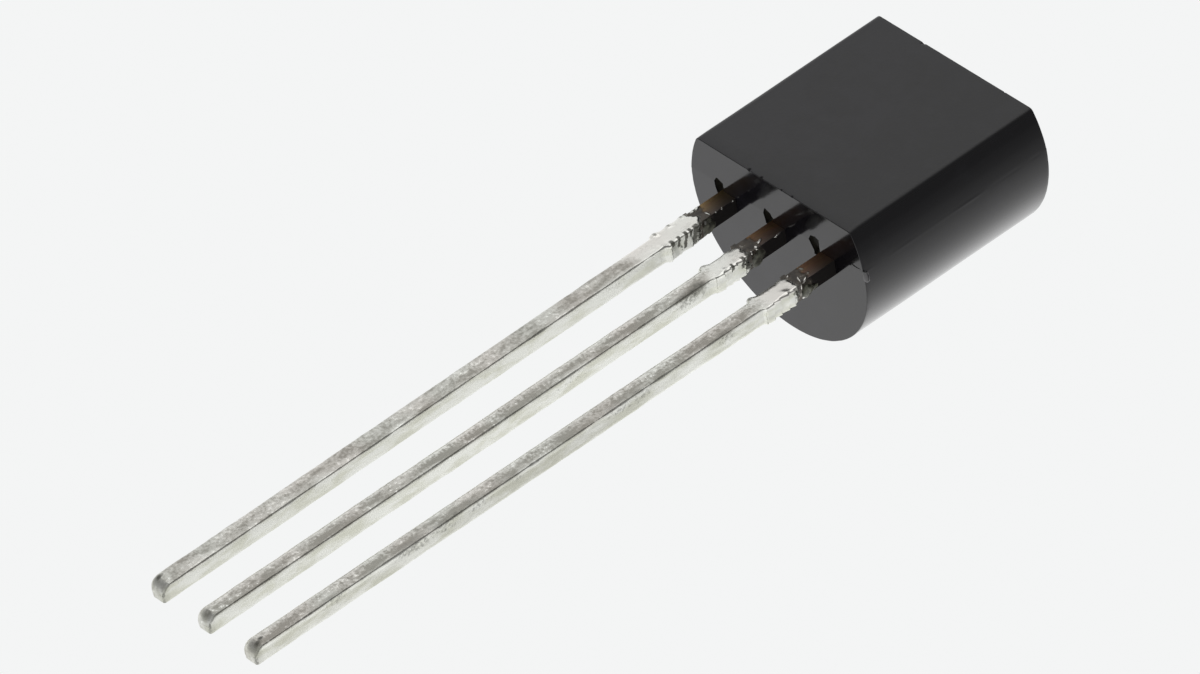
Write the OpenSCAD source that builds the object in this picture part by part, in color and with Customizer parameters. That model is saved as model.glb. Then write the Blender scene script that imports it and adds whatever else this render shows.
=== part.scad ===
// TO-92 transistor with straight leads, lying on its rounded back with the flat face up.
// Millimetres. Each piece is drawn in the component's own axes: X across the row of leads,
// Y from the seating face into the body, Z from the leadframe's upper face towards the flat.
// placed() then lays the component down on the surface it rests on.

/* [Moulded body] */
// Radius of the rounded back
body_r = 2.28; // [2.2:0.02:2.5]
// Distance from the round's axis to the flat face
flat_to_axis = 1.075; // [0.9:0.025:1.3]
// Length of the body at the parting plane, from seating face to far end
body_h = 4.46; // [4.2:0.02:5.3]
// Depth of the parting plane below the flat face
parting_depth = 0.81; // [0.75:0.01:1.1]
// Radius along the two long edges of the flat
flat_edge_r = 0.05; // [0.03:0.01:0.2]
// Draft of the seating face and the far end, in degrees
end_draft_deg = 1; // [0:0.25:5]
// How far the flash stands out along the parting plane
flash_w = 0.03; // [0.01:0.01:0.05]
// Thickness of that flash
flash_t = 0.03; // [0.02:0.01:0.06]
// Width of the broken gate on the far end
gate_w = 0.7; // [0.4:0.05:1]
// Depth of the gate below the parting plane
gate_t = 0.25; // [0.15:0.05:0.4]
// Height of what is left of the gate
gate_stub = 0.04; // [0.02:0.01:0.08]
// Width of the small void beside each lead at the seating face
void_w = 0.1; // [0.06:0.01:0.14]
// Reach of that void from the lead's corner
void_len = 0.24; // [0.15:0.01:0.35]
// Depth of that void into the seating face
void_deep = 0.12; // [0.05:0.01:0.2]
// Lean of that void away from the lead, in degrees
void_lean_deg = 25; // [15:5:60]

/* [Leads] */
// Distance between neighbouring leads at the seating face
lead_pitch = 1.3; // [1.25:0.01:1.35]
// Angle by which the outer leads lean in towards the middle one, in degrees
toe_in_deg = 0.3; // [0:0.1:1]
// Drop of the leads' upper faces below the parting plane
lead_drop = 0.13; // [0:0.01:0.2]
// Width of the bare lead
lead_w = 0.36; // [0.33:0.01:0.42]
// Thickness of the leadframe
lead_t = 0.33; // [0.3:0.01:0.4]
// Reach of the coated leads below the seating face
lead_reach = 13.67; // [12.7:0.01:15.5]
// Width left where the bar between the leads was sheared off
bar_w = 0.44; // [0.43:0.01:0.5]
// Distance from the seating face to that bar
bar_start = 0.84; // [0.6:0.02:1.2]
// Length of the sheared bar along the lead
bar_len = 0.86; // [0.6:0.02:1.2]
// Width over the shear lips at the bar's lower edge
lip_w = 0.48; // [0.48:0.01:0.54]
// Length of a shear lip
lip_len = 0.12; // [0.06:0.02:0.2]
// Radius rolled over at the cut end of a lead
tip_roll = 0.1; // [0.06:0.01:0.16]

/* [Solder coat] */
// Thickness of the solder coat
coat_t = 0.03; // [0.01:0.005:0.04]
// Length of bare lead between seating face and coat
bare_len = 0.88; // [0.86:0.02:1.2]
// Radius of the coat's long edges
coat_edge_r = 0.06; // [0.04:0.01:0.1]

/* [Leadframe in the body] */
// Distance from the seating face to the die pad
pad_start = 1.6; // [1.3:0.05:1.8]
// Width of the die pad
pad_w = 1.6; // [1.2:0.05:1.7]
// Length of the die pad
pad_len = 2.1; // [1.6:0.05:2.3]
// Corner radius of the die pad and the bond posts
plate_r = 0.12; // [0.05:0.01:0.2]
// Radius of the die pad's two side notches
pad_notch_r = 0.15; // [0.08:0.01:0.2]
// Distance from the pad's lower edge to its side notches
pad_notch_y = 0.42; // [0.35:0.01:0.55]
// Distance from the seating face to the bond posts
post_start = 1.2; // [1:0.05:1.4]
// Length of a bond post
post_len = 1.2; // [0.9:0.05:1.6]
// Reach of a bond post outwards from its lead's axis
post_out = 0.56; // [0.4:0.02:0.6]
// Reach of a bond post inwards from its lead's axis
post_in = 0.22; // [0.19:0.01:0.22]
// Radius of the notches that lock a lead in the body
lock_r = 0.07; // [0.04:0.01:0.1]
// Distance from the seating face to those notches
lock_y = 0.55; // [0.3:0.05:0.8]

/* [Chip and bond wires] */
// Side of the square silicon die
die_w = 0.46; // [0.36:0.02:0.7]
// Thickness of the die
die_t = 0.2; // [0.15:0.01:0.25]
// Thickness of the layer that bonds the die to its pad
attach_t = 0.03; // [0.02:0.01:0.05]
// How far that layer shows round the die
attach_rim = 0.03; // [0.02:0.01:0.06]
// Distance between the two wire bonds on the die
bond_pitch = 0.2; // [0.16:0.02:0.24]
// Diameter of a bond wire
wire_d = 0.05; // [0.04:0.005:0.06]
// Radius of the squashed ball on the die
ball_r = 0.065; // [0.05:0.005:0.075]
// Height of that ball
ball_h = 0.05; // [0.04:0.005:0.07]
// Straight rise of a wire above its ball
wire_rise = 0.04; // [0.02:0.01:0.08]
// Radius of a wire's bend above the die
wire_bend_r = 0.08; // [0.06:0.01:0.12]
// Radius of the stitch on the bond post
stitch_r = 0.065; // [0.05:0.005:0.08]
// Thickness of the stitch
stitch_t = 0.02; // [0.01:0.005:0.03]

/* [Hidden] */
$fn = 64;

// Heights above the leadframe's upper face: parting plane, flat, axis of the round and lowest line of its back
parting_z = lead_drop;
flat_z = parting_z + parting_depth;
axis_z = flat_z - flat_to_axis;
back_z = axis_z - body_r;
// Length of a lead's copper core and radius of its rolled end, inside the coat
core_reach = lead_reach - coat_t;
core_roll = tip_roll - coat_t;
coat_roll = tip_roll;
// Die in the middle of its pad, wire bonds in the middle of the posts' upper ends
die_y = pad_start + pad_len / 2;
post_x = lead_pitch + (post_out - post_in) / 2;
post_w = post_out + post_in;
post_bond_y = post_start + post_len - post_w / 2;
die_top = attach_t + die_t;
// Centres of the two rounded long edges of the flat, in the body's section
edge_c = [sqrt(pow(body_r - flat_edge_r, 2) - pow(flat_to_axis - flat_edge_r, 2)),
          flat_to_axis - flat_edge_r];
// Flats that stand for each rounded long edge, and where the first of them starts outside the round
edge_steps = 6;
over_edge = (body_r + flat_edge_r / 10) / norm(edge_c);
// Contact line of the round back, at the seating face's lower edge
contact_y = (parting_z - back_z) * tan(end_draft_deg);
// The component lies on that line and on the lower edges of the three lead ends
rest_tilt = atan2(-lead_t - coat_t - back_z, contact_y + lead_reach);
floor_z = contact_y * sin(rest_tilt) + back_z * cos(rest_tilt);
rest_max_y = (body_h - contact_y) * cos(rest_tilt) - back_z * sin(rest_tilt);
rest_min_y = (coat_roll - lead_reach) * cos(rest_tilt) - (coat_t - coat_roll) * sin(rest_tilt) - coat_roll;
// Large enough to reach past any piece
span = 2 * (body_h + lead_reach);
// Step to which a bond wire's long radius is rounded, so that its two arcs meet in one circle
arc_step = 0.001;

// Lays the component down, with the middle of its box over the origin
module placed() {
    translate([0, -(rest_min_y + rest_max_y) / 2, -floor_z]) rotate([rest_tilt, 0, 0]) children();
}

// Flat plate with rounded corners, centred on X and standing on Y = 0
module rounded_plate(w, l, r) {
    translate([-w / 2 + r, 0]) square([w - 2 * r, l]);
    translate([-w / 2, r]) square([w, l - 2 * r]);
    for (x = [-w / 2 + r, w / 2 - r], y = [r, l - r]) translate([x, y]) circle(r);
}

// Section of the body across its length: a round with one flat and two rounded long edges
module body_section() {
    reach = 2 * body_r;
    first = atan2(edge_c[1], edge_c[0]);
    step = (90 - first) / edge_steps;
    right = [for (i = [1:edge_steps]) edge_c + flat_edge_r * [cos(first + i * step), sin(first + i * step)]];
    left = [for (i = [edge_steps - 1:-1:0]) [-right[i][0], right[i][1]]];
    outer = edge_c * reach;
    translate([0, axis_z]) intersection() {
        circle(body_r, $fn = 128);
        polygon(concat([[reach, -reach], outer, edge_c * over_edge], right, left,
                       [[-edge_c[0], edge_c[1]] * over_edge, [-outer[0], outer[1]], [-reach, -reach]]));
    }
}

// Lengthwise outline of the body, with its drafted ends, extruded across
module body_ends() {
    flat_y = parting_depth * tan(end_draft_deg);
    rotate([90, 0, 90]) linear_extrude(height = span, center = true)
        polygon([[contact_y, back_z], [0, parting_z], [flat_y, flat_z],
                 [body_h - flat_y, flat_z], [body_h, parting_z], [body_h - contact_y, back_z]]);
}

// Thin flash all round the parting plane, from the two halves of the mould
module parting_flash() {
    side = sqrt(pow(body_r, 2) - pow(parting_z - axis_z, 2)) + flash_w;
    translate([-side, 0, parting_z - flash_t / 2]) cube([2 * side, body_h, flash_t]);
}

// What is left on the far end where the resin was broken off at the gate
module gate_remnant() {
    translate([-gate_w / 2, body_h - gate_t, parting_z - gate_t]) cube([gate_w, gate_t + gate_stub, gate_t]);
}

// Small void in the seating face, at the upper left corner of a lead
module root_void() {
    translate([-lead_w / 2, 0, 0]) rotate([0, -void_lean_deg, 0])
        translate([-void_w / 2, -void_deep, -void_w / 2]) cube([void_w, 2 * void_deep, void_len + void_w / 2]);
}

module body_blank() {
    intersection() {
        translate([0, span / 2, 0]) rotate([90, 0, 0]) linear_extrude(height = span) body_section();
        body_ends();
    }
    parting_flash();
    gate_remnant();
}

// Epoxy body, moulded round everything that it seals in
module moulded_body() {
    color("#2b2b2d") placed() difference() {
        body_blank();
        for (x = [-lead_pitch, 0, lead_pitch]) translate([x, 0, 0]) root_void();
        for (side = [-1, 1]) side_lead(side);
        middle_lead();
        attach_layer();
        die();
        for (side = [-1, 1]) bond_wire(side);
    }
}

// Outline of a lead, from its cut end up to a given height in the body, with its locking notches
module lead_outline(top, lean) {
    bar_end = bar_start + bar_len;
    // Corners along the right edge: distance along the lead and half its width there
    edge = [[top, lead_w / 2], [0, lead_w / 2],
            [-bar_start, lead_w / 2], [-bar_start, bar_w / 2],
            [lip_len - bar_end, bar_w / 2], [lip_len - bar_end, lip_w / 2],
            [-bar_end, lip_w / 2], [-bar_end, lead_w / 2], [-core_reach, lead_w / 2]];
    shift = [for (p = edge) min(p[0], 0) * tan(lean)];
    last = len(edge) - 1;
    difference() {
        polygon(concat([for (i = [0:last]) [shift[i] - edge[i][1], edge[i][0]]],
                       [for (i = [last:-1:0]) [shift[i] + edge[i][1], edge[i][0]]]));
        for (side = [-1, 1]) translate([side * lead_w / 2, lock_y]) circle(lock_r);
    }
}

// Cuts the roll-over of a sheared end: radius r, with the end at Y = -reach and the top at Z = top
module roll_cutter(r, reach, top) {
    translate([0, r - reach, top - r]) rotate([90, 0, 90]) difference() {
        translate([0, 0, -lead_pitch / 2]) mirror([1, 0, 0]) cube([2 * r, 2 * r, lead_pitch]);
        translate([0, 0, -lead_pitch]) cylinder(r = r, h = 2 * lead_pitch);
    }
}

// Stamps a piece of the leadframe from its outline and rolls over its cut end
module stamped() {
    difference() {
        translate([0, 0, -lead_t]) linear_extrude(height = lead_t) children();
        roll_cutter(core_roll, core_reach, 0);
    }
}

// Outer lead that ends in a bond post; side is -1 for the left lead and 1 for the right one
module side_lead(side) {
    mirror([side < 0 ? 1 : 0, 0, 0]) translate([lead_pitch, 0, 0]) stamped() {
        lead_outline(post_start + post_w / 2, toe_in_deg);
        translate([post_x - lead_pitch, post_start]) rounded_plate(post_w, post_len, plate_r);
    }
}

// Middle lead that widens into the die pad
module middle_lead() {
    stamped() {
        lead_outline(pad_start + pad_w / 4, 0);
        translate([0, pad_start]) difference() {
            rounded_plate(pad_w, pad_len, plate_r);
            for (side = [-1, 1]) translate([side * pad_w / 2, pad_notch_y]) circle(pad_notch_r);
        }
    }
}

module left_lead() { color("#8a4b32") placed() side_lead(-1); }

module centre_lead() { color("#8a4b32") placed() middle_lead(); }

module right_lead() { color("#8a4b32") placed() side_lead(1); }

// Length of coat of a given copper width, between two distances below the seating face
module coat_sleeve(w, from, to) {
    translate([0, -from, -lead_t - coat_t]) rotate([90, 0, 0]) linear_extrude(height = to - from)
        rounded_plate(w + 2 * coat_t, lead_t + 2 * coat_t, coat_edge_r);
}

// Solder coat that closes over the lead's end and follows its sheared bar
module coat(side) {
    bar_end = bar_start + bar_len;
    difference() {
        translate([side * lead_pitch, 0, 0]) rotate([0, 0, -side * toe_in_deg]) difference() {
            union() {
                coat_sleeve(lead_w, bare_len, lead_reach);
                coat_sleeve(bar_w, bare_len, bar_end + coat_t);
                coat_sleeve(lip_w, bar_end - lip_len - coat_t, bar_end + coat_t);
            }
            roll_cutter(coat_roll, lead_reach, coat_t);
        }
        children();
    }
}

module left_lead_coat() { color("#b9b9b4") placed() coat(-1) side_lead(-1); }

module centre_lead_coat() { color("#b9b9b4") placed() coat(0) middle_lead(); }

module right_lead_coat() { color("#b9b9b4") placed() coat(1) side_lead(1); }

// Conductive layer that holds the die
module attach_layer() {
    w = die_w + 2 * attach_rim;
    translate([-w / 2, die_y - w / 2, 0]) cube([w, w, attach_t]);
}

module die_attach() { color("#c9c3b4") placed() attach_layer(); }

module die() {
    translate([-die_w / 2, die_y - die_w / 2, attach_t]) cube([die_w, die_w, die_t]);
}

module silicon_die() { color("#5d6470") placed() die(); }

// Quarter bend of wire in the XZ plane, of radius r about the origin, from its top towards -X
module wire_arc(r) {
    rotate([90, 0, 0]) rotate([0, 0, 90]) rotate_extrude(angle = 90, $fn = 256)
        translate([r, 0]) circle(d = wire_d, $fn = 24);
}

// Bond wire from the die to a post, with its squashed ball and its stitch
module bond_wire(side) {
    start = [bond_pitch / 2, die_y];
    way = [post_x, post_bond_y] - start;
    run = norm(way) - wire_bend_r;
    neck_z = die_top + ball_h + wire_rise;
    drop = neck_z + wire_bend_r;
    fall_r = round(run / sin(2 * atan(drop / run)) / arc_step) * arc_step;
    mirror([side < 0 ? 1 : 0, 0, 0]) translate([start[0], start[1], 0]) rotate([0, 0, atan2(way[1], way[0])]) {
        intersection() {
            translate([0, 0, die_top + ball_h / 2]) sphere(ball_r);
            translate([-ball_r, -ball_r, die_top]) cube([2 * ball_r, 2 * ball_r, ball_h]);
        }
        translate([0, 0, die_top]) cylinder(d = wire_d, h = neck_z - die_top, $fn = 24);
        translate([wire_bend_r, 0, neck_z]) wire_arc(wire_bend_r);
        intersection() {
            translate([wire_bend_r, 0, drop - fall_r]) mirror([1, 0, 0]) wire_arc(fall_r);
            translate([0, -wire_d, 0]) cube([2 * run, 2 * wire_d, 2 * drop]);
        }
        translate([norm(way), 0, 0]) cylinder(r = stitch_r, h = stitch_t, $fn = 32);
    }
}

module left_bond_wire() { color("#d4a84b") placed() bond_wire(-1); }

module right_bond_wire() { color("#d4a84b") placed() bond_wire(1); }

moulded_body();
left_lead();
centre_lead();
right_lead();
left_lead_coat();
centre_lead_coat();
right_lead_coat();
die_attach();
silicon_die();
left_bond_wire();
right_bond_wire();
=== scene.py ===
"""A three-lead transistor in a moulded resin package, lying on its rounded back on a light table."""
import logging
import math
from collections.abc import Callable, Sequence
from dataclasses import dataclass, field
from enum import Enum

import bmesh
import bpy
import numpy as np
from bpy.types import Material, Node, NodeSocket, NodeTree, Object
from mathutils import Matrix, Vector, noise


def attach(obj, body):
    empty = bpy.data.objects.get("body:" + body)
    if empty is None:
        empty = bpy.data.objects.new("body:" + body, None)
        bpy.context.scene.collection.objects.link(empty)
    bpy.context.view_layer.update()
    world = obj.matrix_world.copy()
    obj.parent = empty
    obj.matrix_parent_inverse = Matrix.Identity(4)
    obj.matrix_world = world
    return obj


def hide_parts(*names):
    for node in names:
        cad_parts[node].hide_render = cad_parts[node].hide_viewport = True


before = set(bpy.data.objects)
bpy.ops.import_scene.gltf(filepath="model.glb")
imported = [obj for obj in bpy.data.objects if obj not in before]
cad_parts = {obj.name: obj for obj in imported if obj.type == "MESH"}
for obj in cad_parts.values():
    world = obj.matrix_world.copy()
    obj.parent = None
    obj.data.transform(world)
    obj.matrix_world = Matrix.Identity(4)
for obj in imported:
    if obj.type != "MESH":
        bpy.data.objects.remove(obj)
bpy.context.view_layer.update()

MM = 0.001
ROOT = "root"
WHITE = "#ffffff"
Point = tuple[float, float, float]
Colour = tuple[float, float, float, float]
log = logging.getLogger("transistor")


class Side(Enum):
    """The three leads, by their place along X in lead pitches."""

    LEFT = -1
    CENTRE = 0
    RIGHT = 1

    @property
    def lead_node(self) -> str:
        """Name of the lead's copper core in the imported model."""
        return f"{self.name.lower()}_lead"

    @property
    def coat_node(self) -> str:
        """Name of the lead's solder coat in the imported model."""
        return f"{self.name.lower()}_lead_coat"


@dataclass(frozen=True)
class Package:
    """Sizes of the package in millimetres, in the component's own axes.

    X runs across the row of leads, Y from the seating face into the body, and Z up from the leadframe's
    upper face towards the flat.
    """

    body_r: float = 2.28
    flat_to_axis: float = 1.075
    body_h: float = 4.46
    parting_depth: float = 0.81
    end_draft_deg: float = 1.0
    flash_w: float = 0.03
    flash_t: float = 0.03
    gate_w: float = 0.7
    gate_t: float = 0.25
    gate_stub: float = 0.04
    lead_pitch: float = 1.3
    toe_in_deg: float = 0.3
    lead_drop: float = 0.13
    lead_w: float = 0.36
    lead_t: float = 0.33
    lead_reach: float = 13.67
    bar_w: float = 0.44
    bar_start: float = 0.84
    bar_len: float = 0.86
    lip_w: float = 0.48
    lip_len: float = 0.12
    tip_roll: float = 0.1
    coat_t: float = 0.03
    bare_len: float = 0.88

    @property
    def flat_z(self) -> float:
        """Height of the flat face."""
        return self.lead_drop + self.parting_depth

    @property
    def axis_z(self) -> float:
        """Height of the axis of the rounded back."""
        return self.flat_z - self.flat_to_axis

    @property
    def draft(self) -> float:
        """Slope of the two ends away from the parting plane."""
        return math.tan(math.radians(self.end_draft_deg))

    @property
    def seat(self) -> Matrix:
        """Turns component millimetres into row-frame metres: the package lies on its back and its lead ends.

        Returns:
            The turn that lays the flat's frame into the component's frame.
        """
        back_z = self.axis_z - self.body_r
        contact_y = (self.lead_drop - back_z) * self.draft
        tilt = math.atan2(-self.lead_t - self.coat_t - back_z, contact_y + self.lead_reach)
        c, s = math.cos(tilt), math.sin(tilt)
        floor_z = contact_y * s + back_z * c
        max_y = (self.body_h - contact_y) * c - back_z * s
        min_y = (self.tip_roll - self.lead_reach) * c - (self.coat_t - self.tip_roll) * s - self.tip_roll
        shift = Matrix.Translation((0, -(min_y + max_y) / 2, -floor_z))
        return Matrix.Scale(MM, 4) @ shift @ Matrix.Rotation(tilt, 4, "X")

    def toe_in(self, side: Side) -> Matrix:
        """Places a lead drawn along -Y from the origin at its root, leaning in towards the middle lead."""
        turn = Matrix.Rotation(math.radians(-side.value * self.toe_in_deg), 4, "Z")
        return Matrix.Translation((side.value * self.lead_pitch, 0, 0)) @ turn


PACKAGE = Package()


def linear(code: str) -> Colour:
    """Turns an sRGB hex colour into linear RGBA.

    Args:
        code: Colour as "#rrggbb".

    Returns:
        The linear red, green and blue, with alpha 1.
    """
    parts = [int(code[i:i + 2], 16) / 255 for i in (1, 3, 5)]
    return (*(p / 12.92 if p <= 0.04045 else ((p + 0.055) / 1.055) ** 2.4 for p in parts), 1.0)


def smoothstep(low: float, high: float, value: float) -> float:
    """Rises smoothly from 0 at low to 1 at high."""
    t = min(max((value - low) / (high - low), 0.0), 1.0)
    return t * t * (3 - 2 * t)


def wobble(x: float, y: float, z: float, seed: float = 0.0) -> float:
    """Smooth noise between about -1 and 1, the same each run."""
    return noise.noise(Vector((x + 17.3 * seed, y - 9.1 * seed, z + 4.7 * seed)))


def link_object(name: str, data: bpy.types.ID) -> Object:
    """Makes an object of a mesh, a light or a camera, and links it to the scene."""
    made = bpy.data.objects.new(name, data)
    bpy.context.scene.collection.objects.link(made)
    return made


def bmesh_object(name: str, work: bmesh.types.BMesh) -> Object:
    """Makes an object of a working mesh, and frees that."""
    mesh = bpy.data.meshes.new(name)
    work.to_mesh(mesh)
    work.free()
    return link_object(name, mesh)


def mesh_object(name: str, points: Sequence[Sequence[float]], faces: Sequence[Sequence[int]]) -> Object:
    """Makes a closed mesh in millimetres, with its faces turned outwards.

    Args:
        name: Name of the object.
        points: Corners, in the component's axes.
        faces: Corner numbers of each face.

    Returns:
        The new object, linked to the scene.
    """
    mesh = bpy.data.meshes.new(name)
    mesh.from_pydata([tuple(p) for p in points], [], [list(f) for f in faces])
    work = bmesh.new()
    work.from_mesh(mesh)
    bmesh.ops.recalc_face_normals(work, faces=work.faces)
    work.to_mesh(mesh)
    work.free()
    return link_object(name, mesh)


def tube(rings: Sequence[Sequence[Sequence[float]]],
         capped: bool = False) -> tuple[list[Sequence[float]], list[list[int]]]:
    """Joins rings of equal length into a skin that is closed round.

    Args:
        rings: Rings of the same number of corners, in order along the tube.
        capped: Whether a face closes each end.

    Returns:
        The points, and the faces as lists of their numbers.
    """
    count = len(rings[0])
    points = [p for ring in rings for p in ring]
    faces = [
        [a * count + i, a * count + (i + 1) % count, (a + 1) * count + (i + 1) % count, (a + 1) * count + i]
        for a in range(len(rings) - 1)
        for i in range(count)
    ]
    if capped:
        faces += [list(range(count)), list(range(len(points) - count, len(points)))]
    return points, faces


def carve(piece: Object, cutters: Sequence[Object]) -> None:
    """Cuts the cutters out of a piece for good, and removes them.

    Args:
        piece: The piece that is cut.
        cutters: Closed shapes that are taken away from it, and then deleted.
    """
    for cutter in cutters:
        modifier = piece.modifiers.new(cutter.name, "BOOLEAN")
        modifier.operation, modifier.solver, modifier.object = "DIFFERENCE", "EXACT", cutter
    bpy.context.view_layer.update()
    shape = bpy.data.meshes.new_from_object(piece.evaluated_get(bpy.context.evaluated_depsgraph_get()))
    piece.modifiers.clear()
    piece.data = shape
    for cutter in cutters:
        bpy.data.objects.remove(cutter)


def mount(piece: Object, material: Material, nodes: Sequence[str] = (),
          sharp_deg: float = 35.0, flat: Callable[[Vector], bool] = lambda normal: False) -> Object:
    """Seats a piece that was drawn in component millimetres, shades it, dresses it and ties it to the frame.

    Args:
        piece: The piece.
        material: Its finish.
        nodes: CAD nodes that the piece stands for.
        sharp_deg: Angle from which an edge is shaded as sharp.
        flat: Says of a face's normal whether that face is shaded flat.

    Returns:
        The piece.
    """
    mesh = piece.data
    mesh.set_sharp_from_angle(angle=math.radians(sharp_deg))
    for polygon in mesh.polygons:
        polygon.use_smooth = not flat(polygon.normal)
    mesh.transform(PACKAGE.seat)
    mesh.update()
    mesh.materials.clear()
    mesh.materials.append(material)
    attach(piece, ROOT)
    if nodes:
        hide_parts(*nodes)
    log.info("%s: %d faces", piece.name, len(mesh.polygons))
    return piece


def set_mask(piece: Object, name: str, value: Callable[[Vector], float]) -> None:
    """Stores a number at each corner, worked out from its place, for the finish to read.

    Args:
        piece: The piece.
        name: Name under which the finish reads the number.
        value: Gives the number at a corner.
    """
    mesh = piece.data
    layer = mesh.attributes.new(name, "FLOAT", "POINT")
    layer.data.foreach_set("value", [value(v.co) for v in mesh.vertices])


def add(tree: NodeTree, kind: str, inputs: dict[str | int, object] | None = None,
        stops: Sequence[tuple[float, Colour]] = (), **settings: object) -> Node:
    """Adds one node with its settings and links.

    Args:
        tree: The node tree.
        kind: The node's type, as Blender names it after ShaderNode.
        inputs: Value, socket or node for each input, by name or number; a node stands for its first output.
        stops: Places and colours of a colour ramp.
        **settings: Properties of the node.

    Returns:
        The node.
    """
    node = tree.nodes.new(f"ShaderNode{kind}")
    for name, value in settings.items():
        setattr(node, name, value)
    if stops:
        ramp = node.color_ramp.elements
        while len(ramp) < len(stops):
            ramp.new(0.5)
        for element, (place, colour) in zip(ramp, stops):
            element.position, element.color = place, colour
    for name, value in (inputs or {}).items():
        if isinstance(value, (Node, NodeSocket)):
            tree.links.new(value.outputs[0] if isinstance(value, Node) else value, node.inputs[name])
        else:
            node.inputs[name].default_value = value
    return node


def empty_tree(owner: Material | bpy.types.World) -> NodeTree:
    """Gives a material or a world a node tree with nothing in it."""
    owner.use_nodes = True
    owner.node_tree.nodes.clear()
    return owner.node_tree


def grey(value: float) -> Colour:
    """A colour ramp's stop that stands for a plain number."""
    return (value, value, value, 1.0)


@dataclass(frozen=True)
class Finish:
    """What every finish shares: a name and a node tree with component coordinates in millimetres."""

    name: str = "finish"

    def start(self) -> tuple[Material, NodeTree, Node]:
        """Makes the material.

        Returns:
            The material, its tree, and the node that gives component millimetres.
        """
        material = bpy.data.materials.new(self.name)
        tree = empty_tree(material)
        back = PACKAGE.seat.inverted()
        place = add(tree, "Mapping", {
            "Vector": add(tree, "TexCoord").outputs["Object"],
            "Location": back.translation, "Rotation": back.to_euler(), "Scale": back.to_scale()})
        return material, tree, place

    def close(self, tree: NodeTree, inputs: dict[str | int, object]) -> None:
        """Adds the surface shader with these inputs, and the output."""
        add(tree, "OutputMaterial", {"Surface": add(tree, "BsdfPrincipled", inputs)})


@dataclass(frozen=True)
class MouldedEpoxy(Finish):
    """Silica-filled epoxy, transfer moulded: near black, polished where the mould was, fine matt on the flat."""

    name: str = "moulded_epoxy"
    dark: str = "#0d0c10"
    light: str = "#1d1c21"
    pit: str = "#403e37"
    smooth_roughness: float = 0.08
    matt_roughness: float = 0.36
    clouds_per_mm: float = 1.4
    grain_mm: float = 0.06
    drag_mm: float = 0.12
    relief_mm: float = 0.006

    def material(self) -> Material:
        """The matt mask turns the polished finish into the spark-eroded grain of the flat; the pit mask into filler.

        Returns:
            The material.
        """
        material, tree, place = self.start()
        matt = add(tree, "Attribute", attribute_name="matt").outputs["Fac"]
        pit = add(tree, "Attribute", attribute_name="pit").outputs["Fac"]
        cloud = add(tree, "TexNoise", {"Vector": place, "Scale": self.clouds_per_mm, "Detail": 6.0, "Roughness": 0.6})
        # Painted light: the body is painted a little paler towards the left
        left_light = add(tree, "Math", {0: add(tree, "SeparateXYZ", {0: place}).outputs["X"], 1: -0.09,
                                              2: cloud}, operation="MULTIPLY_ADD")
        skin = add(tree, "ValToRGB", {"Fac": left_light}, stops=[(0.35, linear(self.dark)), (0.65, linear(self.light))])
        colour = add(tree, "Mix", {0: pit, 6: skin, 7: linear(self.pit)}, data_type="RGBA")
        grain = add(tree, "TexNoise", {"Vector": place, "Scale": 1 / self.grain_mm, "Detail": 3.0})
        # Fine lines along the body where it was drawn out of the mould
        long = add(tree, "Mapping", {"Vector": place, "Scale": (1.0, 0.06, 1.0)})
        drag = add(tree, "TexNoise", {"Vector": long, "Scale": 1 / self.drag_mm, "Detail": 2.0})
        there = add(tree, "Math", {0: grain, 1: matt}, operation="MULTIPLY")
        relief = add(tree, "Math", {0: there, 1: 0.25}, operation="MULTIPLY")
        lines = add(tree, "Math", {0: drag, 1: 0.06, 2: relief}, operation="MULTIPLY_ADD")
        bump = add(tree, "Bump", {"Height": lines, "Strength": 1.0, "Distance": self.relief_mm * MM})
        rough = add(tree, "MapRange", {"Value": matt, "To Min": self.smooth_roughness, "To Max": self.matt_roughness})
        uneven = add(tree, "Math", {0: cloud, 1: 0.07, 2: rough}, operation="MULTIPLY_ADD")
        self.close(tree, {"Base Color": colour.outputs[2], "Roughness": uneven, "IOR": 1.52,
                          "Normal": bump})
        return material


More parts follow.
